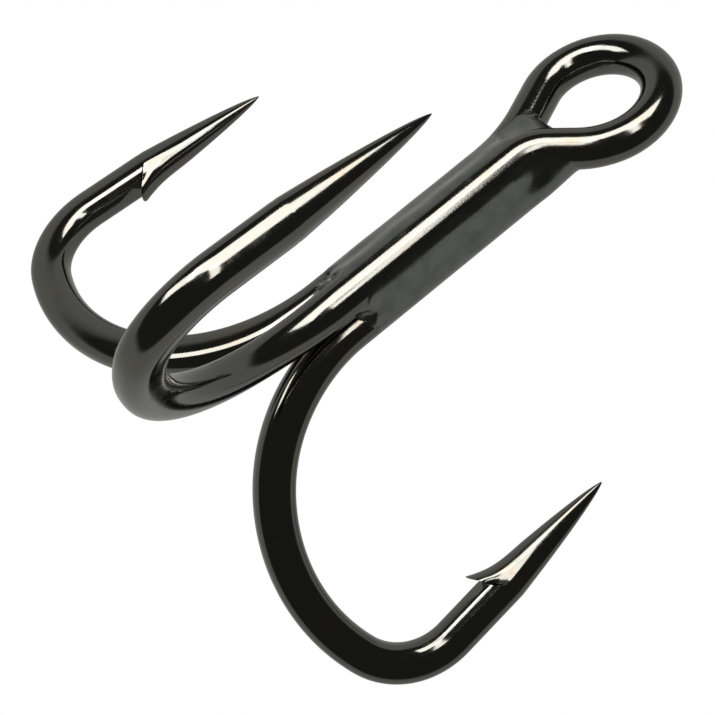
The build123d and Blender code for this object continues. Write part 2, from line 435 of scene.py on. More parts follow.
def around(azimuth):
    """The level unit vector at an azimuth in degrees."""
    angle = math.radians(azimuth)
    return np.array([math.cos(angle), math.sin(angle), 0.0])


def straight(start, end, step):
    """Points from start up to, but not at, the end."""
    count = max(1, round(float(np.linalg.norm(end - start)) / step))
    return [start + (end - start) * i / count for i in range(count)]


def turned(vector, axis, angle):
    """The vector turned about a unit axis that it is square to."""
    return vector * math.cos(angle) + np.cross(axis, vector) * math.sin(angle)


def arc(start, heading, axis, radius, turn, step):
    """Points round an arc up to, but not at, its end, then that end and its heading."""
    centre = start + np.cross(axis, heading) * radius
    count = max(1, round(radius * turn / step))
    spoke = start - centre
    points = [centre + turned(spoke, axis, turn * i / count) for i in range(count)]
    return points, centre + turned(spoke, axis, turn), turned(heading, axis, turn)


def rounded(corners, radii, step):
    """Points of straight runs joined by tangent arcs, up to but not at the last corner."""
    points = []
    here = corners[0]
    for i, radius in enumerate(radii, 1):
        before = unit(corners[i] - corners[i - 1])
        after = unit(corners[i + 1] - corners[i])
        turn = math.acos(float(before @ after))
        setback = radius * math.tan(turn / 2)
        arc_start = corners[i] - before * setback
        points += straight(here, arc_start, step)
        axis = unit(np.cross(before, after))
        bend, here, _ = arc(arc_start, before, axis, radius, turn, step)
        points += bend
    return points + straight(here, corners[-1], step)


def shank_radius(sizes):
    """Distance of each wire's centre from the shank's axis."""
    return (sizes.wire + sizes.film) / math.sqrt(3)


def bend_drop(sizes):
    """How far the lowest point of a hook's centre line lies below the start of its bend."""
    down, heading, lowest = 0.0, 0.0, 0.0
    for radius, turn in zip(sizes.bend_radii, sizes.bend_turns):
        to_lowest = min(max(math.pi / 2 - heading, 0.0), turn)
        lowest = max(lowest, down + radius * (math.sin(heading + to_lowest) - math.sin(heading)))
        down += radius * (math.sin(heading + turn) - math.sin(heading))
        heading += turn
    return lowest


def bend_start(sizes):
    """Height at which the hooks leave the shank."""
    return LONG_WIRE_LOW.z + sizes.wire / 2 + bend_drop(sizes)


def wire_foot(sizes, azimuth):
    """Centre of a wire at the bottom of the shank."""
    return around(azimuth) * shank_radius(sizes) + UP * bend_start(sizes)


def hook_points(sizes, azimuth):
    """Centre line of a hook from the bottom of the shank to its tip."""
    out = around(azimuth)
    axis = np.cross(-UP, out)
    here, heading, points = wire_foot(sizes, azimuth), -UP, []
    for radius, turn in zip(sizes.bend_radii, sizes.bend_turns):
        bend, here, heading = arc(here, heading, axis, radius, turn, sizes.ring_step)
        points += bend
    barb = bpy.context.scene.treble_barb
    point = sizes.point + sizes.point_trim[HOOK_AZIMUTHS.index(azimuth)]
    tip = here + heading * point
    fine = sizes.ring_step / 2
    # Distances back from the tip, each with the step of the rings that follow it.
    marks = [
        (point, sizes.ring_step),
        (barb.root_back + FINE_PAST_CUT * barb.scoop_length, fine),
        (barb.root_back + BARB_FOLD, BARB_FOLD / FOLD_RINGS),
        (barb.root_back - BARB_FOLD, fine),
        (barb.lift_start, sizes.ring_step * POINT_STEP),
        (TIP_RUN, TIP_STEP),
        (0.0, 0.0),
    ]
    for (back, step), (next_back, _) in zip(marks, marks[1:]):
        points += straight(tip - heading * back, tip - heading * next_back, step)
    return points + [tip]


def eye_points(sizes):
    """Centre line of the long wire from the foot of its first leg to the foot of its second."""
    eye_radius = LONG_WIRE_HIGH.z - sizes.wire / 2
    lean = sizes.eye_leg_angle
    down = {side: np.array([-side * math.sin(lean), 0.0, -math.cos(lean)]) for side in (1, -1)}
    ring = {side: np.array([side * math.cos(lean), 0.0, -math.sin(lean)]) * eye_radius
            for side in (1, -1)}
    leg_run = (ring[1][0] - shank_radius(sizes)) / math.sin(lean)
    first_foot, second_foot = (wire_foot(sizes, a) for a in (FIRST_AZIMUTH, SECOND_AZIMUTH))
    crossing_foot = np.array([*second_foot[:2], sizes.crossing_start])
    points = rounded([first_foot, ring[1] + down[1] * leg_run, ring[1]], [sizes.eye_leg_bend],
                     sizes.ring_step)
    loop, _, _ = arc(ring[1], -down[1], np.array([0.0, -1.0, 0.0]), eye_radius,
                     math.pi + 2 * lean, sizes.ring_step)
    points += loop
    points += rounded(
        [ring[-1], ring[-1] + down[-1] * sizes.crossing_end, crossing_foot, second_foot],
        [sizes.crossing_top_bend, sizes.crossing_bend], sizes.ring_step,
    )
    return points


def smooth(value, low, high):
    """0 below low, 1 above high, and a smooth step between them."""
    share = np.clip((value - low) / (high - low), 0.0, 1.0)
    return share * share * (3 - 2 * share)


def place_object(name, data):
    """A new object in the scene."""
    body = bpy.data.objects.new(name, data)
    bpy.context.scene.collection.objects.link(body)
    return body


def path_object(name, sizes, points, azimuths):
    """A mesh of edges along a wire's centre line, with what its shape needs at each point."""
    points = np.array(points)
    lengths = np.concatenate([[0.0], np.cumsum(np.linalg.norm(np.diff(points, axis=0), axis=1))])
    mesh = bpy.data.meshes.new(name)
    mesh.from_pydata(points.tolist(), [(i, i + 1) for i in range(len(points) - 1)], [])
    back = lengths[-1] - lengths
    plane = np.tile(around(azimuths[-1]), (len(points), 1))
    forward = np.gradient(points, axis=0)
    if len(azimuths) == 2:
        first_half = lengths < lengths[-1] / 2
        back = np.where(first_half, lengths, back)
        plane[first_half] = around(azimuths[0])
        forward[first_half] *= -1
    forward /= np.linalg.norm(forward, axis=1)[:, None]
    across = np.cross(plane, UP)
    inward = np.cross(across, forward)
    forging = smooth(-points[:, 2], -bend_start(sizes), -bend_start(sizes) + sizes.forging_run)
    on_hook = np.linalg.norm(points[:, :2], axis=1) > ALL_HOOK * sizes.wire
    forging = np.where(on_hook, 1.0, forging)
    taper = np.clip(back / sizes.taper, 0.0, 1.0) ** sizes.taper_power
    radius = np.maximum(sizes.wire / 2 * taper, sizes.tip * smooth(back, *TIP_CLOSES))
    if len(azimuths) == 1:
        inset = np.maximum(sizes.end_rounding - lengths, 0.0)
        radius -= sizes.end_rounding - np.sqrt(sizes.end_rounding ** 2 - inset ** 2)
    for key, values in (("back", back), ("forging", forging), ("wire_radius", radius)):
        mesh.attributes.new(key, "FLOAT", "POINT").data.foreach_set("value", values)
    for key, values in (("centre", points), ("across", across), ("inward", inward),
                        ("forward", forward)):
        mesh.attributes.new(key, "FLOAT_VECTOR", "POINT").data.foreach_set("vector", values.ravel())
    return place_object(name, mesh)


# Geometry nodes: a round tube swept along a path


def add_input(tree, name, kind, default=None):
    """A named input of a node group."""
    socket = tree.interface.new_socket(name=name, in_out="INPUT", socket_type=kind)
    if default is not None:
        socket.default_value = default
    return socket


def swept_wire_tree():
    """The node group that sweeps a round wire along a path of edges."""
    tree = bpy.data.node_groups.new("Swept wire", "GeometryNodeTree")
    tree.is_modifier = True
    add_input(tree, "Path", "NodeSocketGeometry")
    add_input(tree, "Sides", "NodeSocketInt", 48)
    add_input(tree, "Material", "NodeSocketMaterial")
    tree.interface.new_socket(name="Wire", in_out="OUTPUT", socket_type="NodeSocketGeometry")
    nodes, link = tree.nodes, tree.links.new
    start, end = nodes.new("NodeGroupInput"), nodes.new("NodeGroupOutput")
    curve = nodes.new("GeometryNodeMeshToCurve")
    radius = nodes.new("GeometryNodeInputNamedAttribute")
    radius.inputs["Name"].default_value = "wire_radius"
    circle = nodes.new("GeometryNodeCurvePrimitiveCircle")
    circle.inputs["Radius"].default_value = 1.0
    sweep = nodes.new("GeometryNodeCurveToMesh")
    sweep.inputs["Fill Caps"].default_value = True
    shade = nodes.new("GeometryNodeSetShadeSmooth")
    real = nodes.new("GeometryNodeRealizeInstances")
    paint = nodes.new("GeometryNodeSetMaterial")
    link(start.outputs["Path"], curve.inputs["Mesh"])
    link(start.outputs["Sides"], circle.inputs["Resolution"])
    link(curve.outputs["Curve"], sweep.inputs["Curve"])
    link(circle.outputs["Curve"], sweep.inputs["Profile Curve"])
    link(radius.outputs["Attribute"], sweep.inputs["Scale"])
    link(sweep.outputs["Mesh"], shade.inputs["Geometry"])
    link(shade.outputs["Geometry"], real.inputs["Geometry"])
    link(real.outputs["Geometry"], paint.inputs["Geometry"])
    link(start.outputs["Material"], paint.inputs["Material"])
    link(paint.outputs["Geometry"], end.inputs["Wire"])
    return tree


def sweep_wire(body, sides, material):
    """Turn a path object into the plain mesh of the wire that follows it."""
    tree = bpy.data.node_groups.get("Swept wire") or swept_wire_tree()
    modifier = body.modifiers.new("Swept wire", "NODES")
    modifier.node_group = tree
    values = {"Sides": sides, "Material": material}
    for item in tree.interface.items_tree:
        if item.in_out == "INPUT" and item.name in values:
            modifier[item.identifier] = values[item.name]
    evaluated = body.evaluated_get(bpy.context.evaluated_depsgraph_get())
    mesh = bpy.data.meshes.new_from_object(evaluated)
    body.modifiers.clear()
    body.data = mesh
    mesh.name = body.name


def read_attribute(mesh, name, width):
    """A point attribute of a mesh as an array."""
    values = np.empty(len(mesh.vertices) * width)
    mesh.attributes[name].data.foreach_get("value" if width == 1 else "vector", values)
    return values if width == 1 else values.reshape(-1, width)


def shape_wire(body, sizes, barb):
    """Forge the bends, and cut and lift the barbs, of a swept wire."""
    mesh = body.data
    place = np.empty(len(mesh.vertices) * 3)
    mesh.vertices.foreach_get("co", place)
    place = place.reshape(-1, 3)
    centre, across, inward, forward = (
        read_attribute(mesh, key, 3) for key in ("centre", "across", "inward", "forward")
    )
    back, forging, radius = (read_attribute(mesh, key, 1) for key in ("back", "forging", "wire_radius"))
    offset = place - centre
    height = np.einsum("ij,ij->i", offset, inward)
    side = np.einsum("ij,ij->i", offset, across)
    forged = forging > 0.0

    # The forged section is a little deeper than the wire, thinner across and flatter on its sides.
    swell = 1 + FORGED_DEEPER * forging
    power = 2 / (2 + FORGED_FLATTER * forging)
    turn = np.arctan2(side, height)
    deep = radius * swell * np.sign(np.cos(turn)) * np.abs(np.cos(turn)) ** power
    thin = (radius * (1 + (sizes.forged_share - 1) * forging)
            * np.sign(np.sin(turn)) * np.abs(np.sin(turn)) ** power)

    deep, slide, pinch = lift_barb(sizes, barb, back, deep)
    thin *= pinch
    shaped = centre + inward * deep[:, None] + across * thin[:, None] - forward * slide[:, None]
    place[forged] = shaped[forged]
    mesh.vertices.foreach_set("co", place.ravel())
    for key in ("centre", "across", "inward", "forward", "forging", "wire_radius", "back"):
        mesh.attributes.remove(mesh.attributes[key])
    mesh.update()
    tidy(mesh, WELD)


def lift_barb(sizes, barb, back, deep):
    """Heights, backward slides and narrowings that open the chisel cut and bend the barb up."""
    radius = sizes.wire / 2
    depth = np.clip((deep - barb.root_height) / (radius - barb.root_height), 0.0, DEEPEST)
    root = barb.root_back
    cut = np.maximum(deep - barb.root_height, 0.0) * barb.cut_slope     # from the root to the cut's edge

    def bent(along, height, share):
        """Where the barb's bending takes a point of the wire."""
        bend = (along - barb.lift_start) / (root + BARB_RUN_OUT - barb.lift_start)
        bend = np.clip(bend, 0.0, FARTHEST)
        narrow = 1 - barb.pinch * bend ** PINCH_POWER * smooth(share, *PINCHED)
        lift = bend ** BARB_POWER * smooth(share, *GRIP)
        return along + barb.reach * lift, height + barb.rise * lift, narrow

    # The path's short stretches on the two sides of the root are folded into the two faces of the cut.
    ramp = (back > barb.lift_start) & (back <= root - BARB_FOLD)
    under = (back > root - BARB_FOLD) & (back <= root)
    facing = (back > root) & (back <= root + BARB_FOLD)
    behind = (back > root + BARB_FOLD) & (back < root + 2 * barb.scoop_length)

    ramp_share = (back - barb.lift_start) / (root - BARB_FOLD - barb.lift_start)
    ramp_along = barb.lift_start + ramp_share * (root + cut - barb.lift_start)
    free_along, free_height, free_narrow = bent(root + cut, deep, depth)
    bent_along, bent_height, bent_narrow = bent(ramp_along, deep, depth)

    under_share = np.clip((back - root + BARB_FOLD) / BARB_FOLD, 0.0, 1.0)
    root_height = np.minimum(deep, barb.root_height)
    facing_share = np.clip((back - root) / BARB_FOLD, 0.0, 1.0)
    run_end = 2 * barb.scoop_length
    behind_share = np.clip((back - root - BARB_FOLD) / (run_end - BARB_FOLD), 0.0, 1.0)
    behind_along = root + cut + behind_share * (run_end - cut)

    # A shallow flat behind the cut.
    fading = smooth(behind_along, root + SCOOP_RUN_OUT, root + barb.scoop_length)
    flat_top = radius * (1 + FORGED_DEEPER) - barb.scoop_depth * (1 - fading)
    behind_height = np.where(deep > flat_top, flat_top + SCOOP_CROWN * (deep - flat_top), deep)

    new_along, new_height = back.copy(), deep.copy()
    for zone, along, height in (
        (ramp, bent_along, bent_height),
        (under, free_along + (root - free_along) * under_share,
         free_height + (root_height - free_height) * under_share),
        (facing, root + cut * facing_share, root_height + (behind_height - root_height) * facing_share),
        (behind, behind_along, behind_height),
    ):
        new_along = np.where(zone, along, new_along)
        new_height = np.where(zone, height, new_height)
    narrow = np.where(ramp, bent_narrow, 1.0)
    narrow = np.where(under, free_narrow + (1 - free_narrow) * under_share, narrow)
    return new_height, new_along - back, narrow


def tidy(mesh, distance):
    """Join coincident points, drop empty faces, turn every face outwards and keep sharp edges sharp."""
    work = bmesh.new()
    work.from_mesh(mesh)
    bmesh.ops.remove_doubles(work, verts=work.verts, dist=distance)
    bmesh.ops.dissolve_degenerate(work, edges=work.edges, dist=distance)
    bmesh.ops.recalc_face_normals(work, faces=work.faces)
    for face in work.faces:
        face.smooth = True
    for edge in work.edges:
        edge.smooth = not edge.is_manifold or edge.calc_face_angle() < SHARP_EDGE
    work.to_mesh(mesh)
    work.free()


# Braze: the smooth surface between the wires, found on a grid and moved exactly onto its level


def line_distance(places, line):
    """Distance from places to a line of points."""
    best = np.full(len(places), np.inf)
    for start, end in zip(line[:-1], line[1:]):
        run = end - start
        share = np.clip((places - start) @ run / (run @ run), 0.0, 1.0)
        gap = places - start - share[:, None] * run
        best = np.minimum(best, np.einsum("ij,ij->i", gap, gap))
    return np.sqrt(best)


def blend(first, second, reach):
    """Union of two distances, rounded off where both are within reach."""
    share = np.maximum(reach - np.abs(first - second), 0.0) / np.maximum(reach, LEAST_REACH)
    return np.minimum(first, second) - share * share * reach / 4


def flat_reach(apart, radius):
    """The blend that fills between two wires up to the level of both crests."""
    return 4 * (np.hypot(radius, apart / 2) - radius)


def ripple(places, size, seed):
    """A smooth random field between about -1 and 1, with bumps of the given size."""
    draw = np.random.default_rng(seed)
    waves = draw.normal(size=(RIPPLE_WAVES, 3))
    waves /= np.linalg.norm(waves, axis=1)[:, None]
    waves *= (2 * math.pi / size) * draw.uniform(0.6, 1.5, RIPPLE_WAVES)[:, None]
    phases = draw.uniform(0, 2 * math.pi, RIPPLE_WAVES)
    return np.sin(places @ waves.T + phases).sum(axis=1) / RIPPLE_HEIGHT


def thinned(points, low):
    """Every few points of a path between a height and the top of the wires' lines."""
    points = np.array([p for p in points if low < p[2] < LINES_TOP])
    count = min(LINE_POINTS, len(points))
    return points[np.unique(np.linspace(0, len(points) - 1, count).round().astype(int))]


class Shank:
    """The centre lines of the wires where the braze joins them."""

    def __init__(self, sizes):
        self.radius = sizes.wire / 2
        low = bend_start(sizes) - LINES_BELOW
        loop = eye_points(sizes)
        half = len(loop) // 2
        first, second, single = (
            [p for p in hook_points(sizes, azimuth)[::-1] if np.hypot(p[0], p[1]) < LINES_ASIDE]
            for azimuth in HOOK_AZIMUTHS
        )
        single_top = np.array([*single[-1][:2], SINGLE_HIGH.z - SINGLE_END * self.radius])
        self.lines = {
            FIRST_AZIMUTH: thinned(first + loop[:half], low),
            SECOND_AZIMUTH: thinned(second + loop[half:][::-1], low),
            SINGLE_AZIMUTH: np.array(single + [single_top]),
        }

    def gap(self, places, azimuth):
        """Distance from places to the surface of a wire."""
        return line_distance(places, self.lines[azimuth]) - self.radius

    def centre(self, height, azimuth):
        """Centre of a wire, as x and y, at each height."""
        line = self.lines[azimuth]
        line = line[np.argsort(line[:, 2])]
        return np.stack([np.interp(height, line[:, 2], line[:, axis]) for axis in (0, 1)], axis=1)


def groove_field(shank, pair, reach, low, turn_limit, lump):
    """The braze in the groove between two wires; reach(places) is how far it blends them.

    turn_limit is a pair of angles from the groove's middle between which the braze fades, and
    lump(places) gives the distance to a lump on it and its blend. Either can be None.
    """
    middle = around(sum(pair) / 2 if abs(pair[1] - pair[0]) < 180 else sum(pair) / 2 + 180)

    def field(places):
        first, second = (shank.gap(places, azimuth) for azimuth in pair)
        span = reach(places)
        if turn_limit is not None:
            out = places @ middle
            aside = np.linalg.norm(places[:, :2] - out[:, None] * middle[None, :2], axis=1)
            span = span * (1 - smooth(np.degrees(np.arctan2(aside, out)), *turn_limit))
        level = blend(first, second, span)
        near = np.abs(first - second) - span - GROOVE_SKIN
        if lump is not None:
            more, soft = lump(places)
            near = np.minimum(near, np.abs(level - more) - soft - LUMP_SKIN)
            level = blend(level, more, soft)
        past_end = np.maximum(low - places[:, 2], places[:, 2] - GROOVE_TOP)
        return np.maximum(np.maximum(level + HIDDEN, near),
                          np.maximum(past_end, GROOVE_DEPTH - places @ middle))

    return field


def web_distance(shank, fill, places):
    """Distance to a sheet stretched flat between the eye's legs, up to the low end of the eye's hole."""
    height = places[:, 2]
    start, end = (shank.centre(height, azimuth) for azimuth in (FIRST_AZIMUTH, SECOND_AZIMUTH))
    run = end - start
    share = np.clip(np.einsum("ij,ij->i", places[:, :2] - start, run)
                    / np.einsum("ij,ij->i", run, run), 0.0, 1.0)
    sink = (fill.web_sink + fill.web_hollow * 4 * share * (1 - share)
            + WEB_FOOT_SINK * (1 - smooth(height, *WEB_FOOT))
            + HOLE_EDGE_SINK * smooth(height, *HOLE_EDGE))
    sheet = np.linalg.norm(places[:, :2] - start - share[:, None] * run, axis=1) - shank.radius + sink
    return -blend(-sheet, HOLE_LOW - 0.5 * fill.web_blend - height, HOLE_ROUNDING)


def throat_field(shank, fill, ramp_foot):
    """The braze above the hooks: the web of the eye, and a ramp over the single hook's end."""
    ramp_run = RAMP_TOP - ramp_foot

    def field(places):
        height = places[:, 2]
        web = web_distance(shank, fill, places)
        legs = np.minimum(shank.gap(places, FIRST_AZIMUTH), shank.gap(places, SECOND_AZIMUTH))
        level = blend(web, legs, fill.web_blend * smooth(height, *HOLE_BLEND))
        near = web - legs - fill.web_blend

        # The ramp thins as it climbs, and is filled flat against the second leg.
        climb = np.clip((height - ramp_foot[2]) / ramp_run[2], 0.0, 1.0)
        ramp = (line_distance(places, np.array([ramp_foot, RAMP_TOP]))
                - RAMP_RADIUS + RAMP_THINNING * smooth(climb, *RAMP_THINS))
        ramp_centre = ramp_foot[:2] + climb[:, None] * ramp_run[:2]
        apart = np.linalg.norm(ramp_centre - shank.centre(height, SECOND_AZIMUTH), axis=1)
        reach = fill.ramp_fill * flat_reach(apart, shank.radius) * (1 - smooth(height, *RAMP_FADE))
        near = np.minimum(near, np.maximum(np.abs(level - ramp) - reach, height - RAMP_HIGH))
        level = blend(level, ramp, reach)
        return np.maximum(np.maximum(level + HIDDEN, near - THROAT_SKIN), THROAT_LOW - height)

    return field


def groove_runs(fill):
    """Each groove's node, pair of wires, reach, lower end, limit of turn and lump."""
    bottom = GROOVE_LOW.z

    def over_end(places):
        """Height over the braze's ragged lower end."""
        return places[:, 2] - bottom + RAGGED * ripple(places, RAGGED_SIZE, RAGGED_SEED)

    def uneven(places):
        """The small ups and downs of the fill, about 1."""
        return 1 + UNEVEN * ripple(places, UNEVEN_SIZE, UNEVEN_SEED)

    def long_wire(places):
        """Reach in the long wire's groove."""
        fat = fill.long_wire_extra * (1 - smooth(places[:, 2] - bottom, *FAT_END))
        upper = 1 - smooth(places[:, 2], *GROOVE_FADE)
        return (smooth(over_end(places), *LONG_WIRE_END) * uneven(places) * upper
                * (fill.long_wire_fill + fat))

    def plain(amount):
        """Reach in a groove beside the single hook, filled by that amount."""
        return lambda places: smooth(over_end(places), *PLAIN_END) * uneven(places) * amount

    def lump(places):
        """Distance to the lump at the lower end of the long wire's groove, and its blend."""
        gap = places - around(LUMP_AZIMUTH) * LUMP_OUT - UP * (bottom - LUMP_DROP)
        gap[:, 2] *= LUMP_LENGTHEN
        rough = LUMP_ROUGH * ripple(places, LUMP_ROUGH_SIZE, LUMP_ROUGH_SEED)
        return np.linalg.norm(gap, axis=1) - LUMP_RADIUS + rough, LUMP_BLEND

    return (
        ("long_wire_braze", (FIRST_AZIMUTH, SECOND_AZIMUTH), long_wire, bottom - LONG_WIRE_DROP,
         LONG_WIRE_TURNS, lump),
        ("left_groove_braze", (SECOND_AZIMUTH, SINGLE_AZIMUTH), plain(fill.left_fill),
         bottom - PLAIN_DROP, None, None),
        ("right_groove_braze", (SINGLE_AZIMUTH, FIRST_AZIMUTH + 360), plain(fill.right_fill),
         bottom - PLAIN_DROP, None, None),
    )


def surface_net(field, low, high, step):
    """Points and four-sided faces of the zero level of a field inside a box."""
    counts = np.ceil((high - low) / step).astype(int) + 1
    axes = [low[i] + step * np.arange(counts[i]) for i in range(3)]
    grid = np.stack(np.meshgrid(*axes, indexing="ij"), axis=-1).reshape(-1, 3)
    values = np.concatenate([field(part) for part in np.array_split(grid, GRID_PARTS)]).reshape(counts)
    inside = values < 0
    shape = np.array(counts) - 1
    total, weight = np.zeros((*shape, 3)), np.zeros(shape)
    corners = [(x, y, z) for x in (0, 1) for y in (0, 1) for z in (0, 1)]
    for start in corners:
        for axis in range(3):
            if start[axis]:
                continue
            end = tuple(c + (1 if i == axis else 0) for i, c in enumerate(start))
            cut_start = tuple(slice(c, c + n) for c, n in zip(start, shape))
            cut_end = tuple(slice(c, c + n) for c, n in zip(end, shape))
            a, b = values[cut_start], values[cut_end]
            crossing = (a < 0) != (b < 0)
            share = np.where(crossing, a / np.where(crossing, a - b, 1.0), 0.0)
            for i in range(3):
                total[..., i] += np.where(crossing, start[i] + (share if i == axis else 0.0), 0.0)
            weight += crossing
    used = weight > 0
    index = np.full(shape, -1)
    index[used] = np.arange(used.sum())
    base = np.argwhere(used)
    points = low + (base + total[used] / weight[used][:, None]) * step
    faces = []
    for axis in range(3):
        one, two = [i for i in range(3) if i != axis]
        a = inside[tuple(slice(None, -1) if i == axis else slice(None) for i in range(3))]
        b = inside[tuple(slice(1, None) if i == axis else slice(None) for i in range(3))]
        where = np.argwhere(a != b)
        where = where[(where[:, one] > 0) & (where[:, two] > 0)
                      & (where[:, one] < shape[one]) & (where[:, two] < shape[two])]
        ring = []
        for back_one, back_two in ((1, 1), (0, 1), (0, 0), (1, 0)):
            cell = where.copy()
            cell[:, one] -= back_one
            cell[:, two] -= back_two
            ring.append(index[cell[:, 0], cell[:, 1], cell[:, 2]])
        faces.append(np.stack(ring, axis=1))
    return points, np.concatenate(faces)


def onto_level(field, points, step):
    """Points moved along the field's slope onto its zero level."""
    nudge = step * NUDGE
    for _ in range(LEVEL_ROUNDS):
        value = field(points)
        slope = np.stack([
            (field(points + offset) - field(points - offset)) / (2 * nudge)
            for offset in np.eye(3) * nudge
        ], axis=1)
        steep = np.maximum(np.einsum("ij,ij->i", slope, slope), LEAST_SLOPE)
        move = -slope * (value / steep)[:, None]
        size = np.linalg.norm(move, axis=1)[:, None]
        points = points + move * np.minimum(1.0, LONGEST_MOVE * step / np.maximum(size, 1e-12))
    return points


def build_braze(name, field, low, high, step, material):
    """The mesh of one run of braze."""
    points, faces = surface_net(field, low, high, step)
    points = onto_level(field, points, step)
    mesh = bpy.data.meshes.new(name)
    mesh.from_pydata(points.tolist(), [], faces.tolist())
    mesh.materials.append(material)
    tidy(mesh, WELD)
    return place_object(name, mesh)


# Materials


def new_material(name):
    """An empty node material, and a maker of its nodes."""
    material = bpy.data.materials.new(name)
    material.use_nodes = True
    material.node_tree.nodes.clear()
    return material, material.node_tree.nodes.new, material.node_tree.links.new


def set_range(node, low, high, to_low, to_high):
    """Make a Map Range node take low to high smoothly onto to_low to to_high."""
    node.interpolation_type = "SMOOTHSTEP"
    for name, value in zip(("From Min", "From Max", "To Min", "To Max"), (low, high, to_low, to_high)):
        node.inputs[name].default_value = value


class Surface:
    """A metallic material whose colour, roughness and bump come from a few noises."""

    def __init__(self, name):
        self.material, self.node, self.link = new_material(name)
        self.place = self.node("ShaderNodeTexCoord").outputs["Object"]

    def noise(self, size, detail=3.0, roughness=0.55):
        """A noise whose features are about size metres across."""
        texture = self.node("ShaderNodeTexNoise")
        self.link(self.place, texture.inputs["Vector"])
        texture.inputs["Scale"].default_value = 1 / size
        texture.inputs["Detail"].default_value = detail
        texture.inputs["Roughness"].default_value = roughness
        return texture.outputs["Fac"]

    def mapped(self, value, low, high, to_low, to_high):
        """The value with low to high mapped smoothly onto to_low to to_high."""
        span = self.node("ShaderNodeMapRange")
        self.link(value, span.inputs["Value"])
        set_range(span, low, high, to_low, to_high)
        return span.outputs["Result"]

    def height(self):
        """Height above the eye's centre."""
        split = self.node("ShaderNodeSeparateXYZ")
        self.link(self.place, split.inputs["Vector"])
        return split.outputs["Z"]

    def from_axis(self):
        """Distance from the shank's axis."""
        level, length = self.node("ShaderNodeVectorMath"), self.node("ShaderNodeVectorMath")
        level.operation, length.operation = "MULTIPLY", "LENGTH"
        level.inputs[1].default_value = (1.0, 1.0, 0.0)
        self.link(self.place, level.inputs[0])
        self.link(level.outputs["Vector"], length.inputs[0])
        return length.outputs["Value"]

    def math(self, operation, first, second):
        """A sum, product and so on of two values."""
        node = self.node("ShaderNodeMath")
        node.operation = operation
        for socket, value in zip(node.inputs, (first, second)):
            if isinstance(value, float):
                socket.default_value = value
            else:
                self.link(value, socket)
        return node.outputs["Value"]

    def mixed(self, share, first, second):
        """Two colours mixed; each is a colour or a socket."""
        mix = self.node("ShaderNodeMix")
        mix.data_type = "RGBA"
        self.link(share, mix.inputs["Factor"])
        for name, colour in (("A", first), ("B", second)):
            if isinstance(colour, bpy.types.NodeSocket):
                self.link(colour, mix.inputs[name])
            else:
                mix.inputs[name].default_value = colour
        return mix.outputs["Result"]

    def bump(self, height, distance, normal=None):
        """A bump of that many metres."""
        node = self.node("ShaderNodeBump")
        node.inputs["Distance"].default_value = distance
        self.link(height, node.inputs["Height"])
        if normal is not None:
            self.link(normal, node.inputs["Normal"])
        return node.outputs["Normal"]

    def finish(self, colour, roughness, normal):
        """The material, with these on its metal."""
        shader, out = self.node("ShaderNodeBsdfPrincipled"), self.node("ShaderNodeOutputMaterial")
        shader.inputs["Metallic"].default_value = 1.0
        self.link(colour, shader.inputs["Base Color"])
        self.link(roughness, shader.inputs["Roughness"])
        self.link(normal, shader.inputs["Normal"])
        self.link(shader.outputs["BSDF"], out.inputs["Surface"])
        return self.material


def plated_wire_material(finish):
    """Polished black nickel: faint brown bloom, and pitting where the braze ran over the shank."""
    surface = Surface("Black nickel wire")
    shank = surface.math("MULTIPLY", surface.mapped(surface.height(), *PITS_HEIGHTS, 0.0, 1.0),
                         surface.mapped(surface.from_axis(), *PITS_OUT, 1.0, 0.12))
    bloom = surface.mapped(surface.noise(1.9 * MM), 0.50, 0.68, 0.0, 0.75)
    colour = surface.mixed(bloom, finish.wire_colour, finish.bloom_colour)
    satin = surface.mapped(surface.noise(0.5 * MM), 0.35, 0.70, finish.wire_roughness,
                           finish.wire_roughness + 0.05)
    pits = surface.math("MULTIPLY", surface.noise(0.10 * MM, 4.0, 0.65), shank)
    peel = surface.bump(surface.noise(0.45 * MM, 2.0), finish.peel_depth)
    return surface.finish(colour, satin, surface.bump(pits, finish.pit_depth, peel))


def plated_braze_material(finish):
    """Satin black nickel over braze, mottled and softly uneven."""
    surface = Surface("Black nickel braze")
    mottle = surface.mapped(surface.noise(0.9 * MM, 4.0), 0.40, 0.66, 0.0, 1.0)
    colour = surface.mixed(mottle, finish.braze_colour, finish.mottle_colour)
    satin = surface.mapped(surface.noise(0.7 * MM), 0.35, 0.70, finish.braze_roughness,
                           finish.braze_roughness + 0.09)
    crust = surface.mapped(surface.height(), *CRUST_HEIGHTS, 0.0, 1.0)
    grain = surface.bump(surface.noise(0.12 * MM, 4.0, 0.6), finish.grain_depth)
    rough = surface.math("MULTIPLY", surface.noise(0.16 * MM, 5.0, 0.7), crust)
    return surface.finish(colour, satin, surface.bump(rough, finish.crust_depth, grain))


def shared_material(name, maker):
    """A material of that name, made once."""
    return bpy.data.materials.get(name) or maker(bpy.context.scene.treble_finish)


# Operators


class TREBLE_OT_long_wire(bpy.types.Operator):
    """Sweep the long wire with its two hooks and the eye"""

    bl_idname = "treble.long_wire"
    bl_label = "Long wire"

    def execute(self, context):
        sizes = context.scene.treble_wire
        first = hook_points(sizes, FIRST_AZIMUTH)[::-1]
        second = hook_points(sizes, SECOND_AZIMUTH)
        points = first[:-1] + eye_points(sizes) + second
        body = path_object("long_wire", sizes, points, (FIRST_AZIMUTH, SECOND_AZIMUTH))
        sweep_wire(body, sizes.sides, shared_material("Black nickel wire", plated_wire_material))
        shape_wire(body, sizes, context.scene.treble_barb)
        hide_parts("eyed_double_hook")
        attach(body, "root")
        return {"FINISHED"}


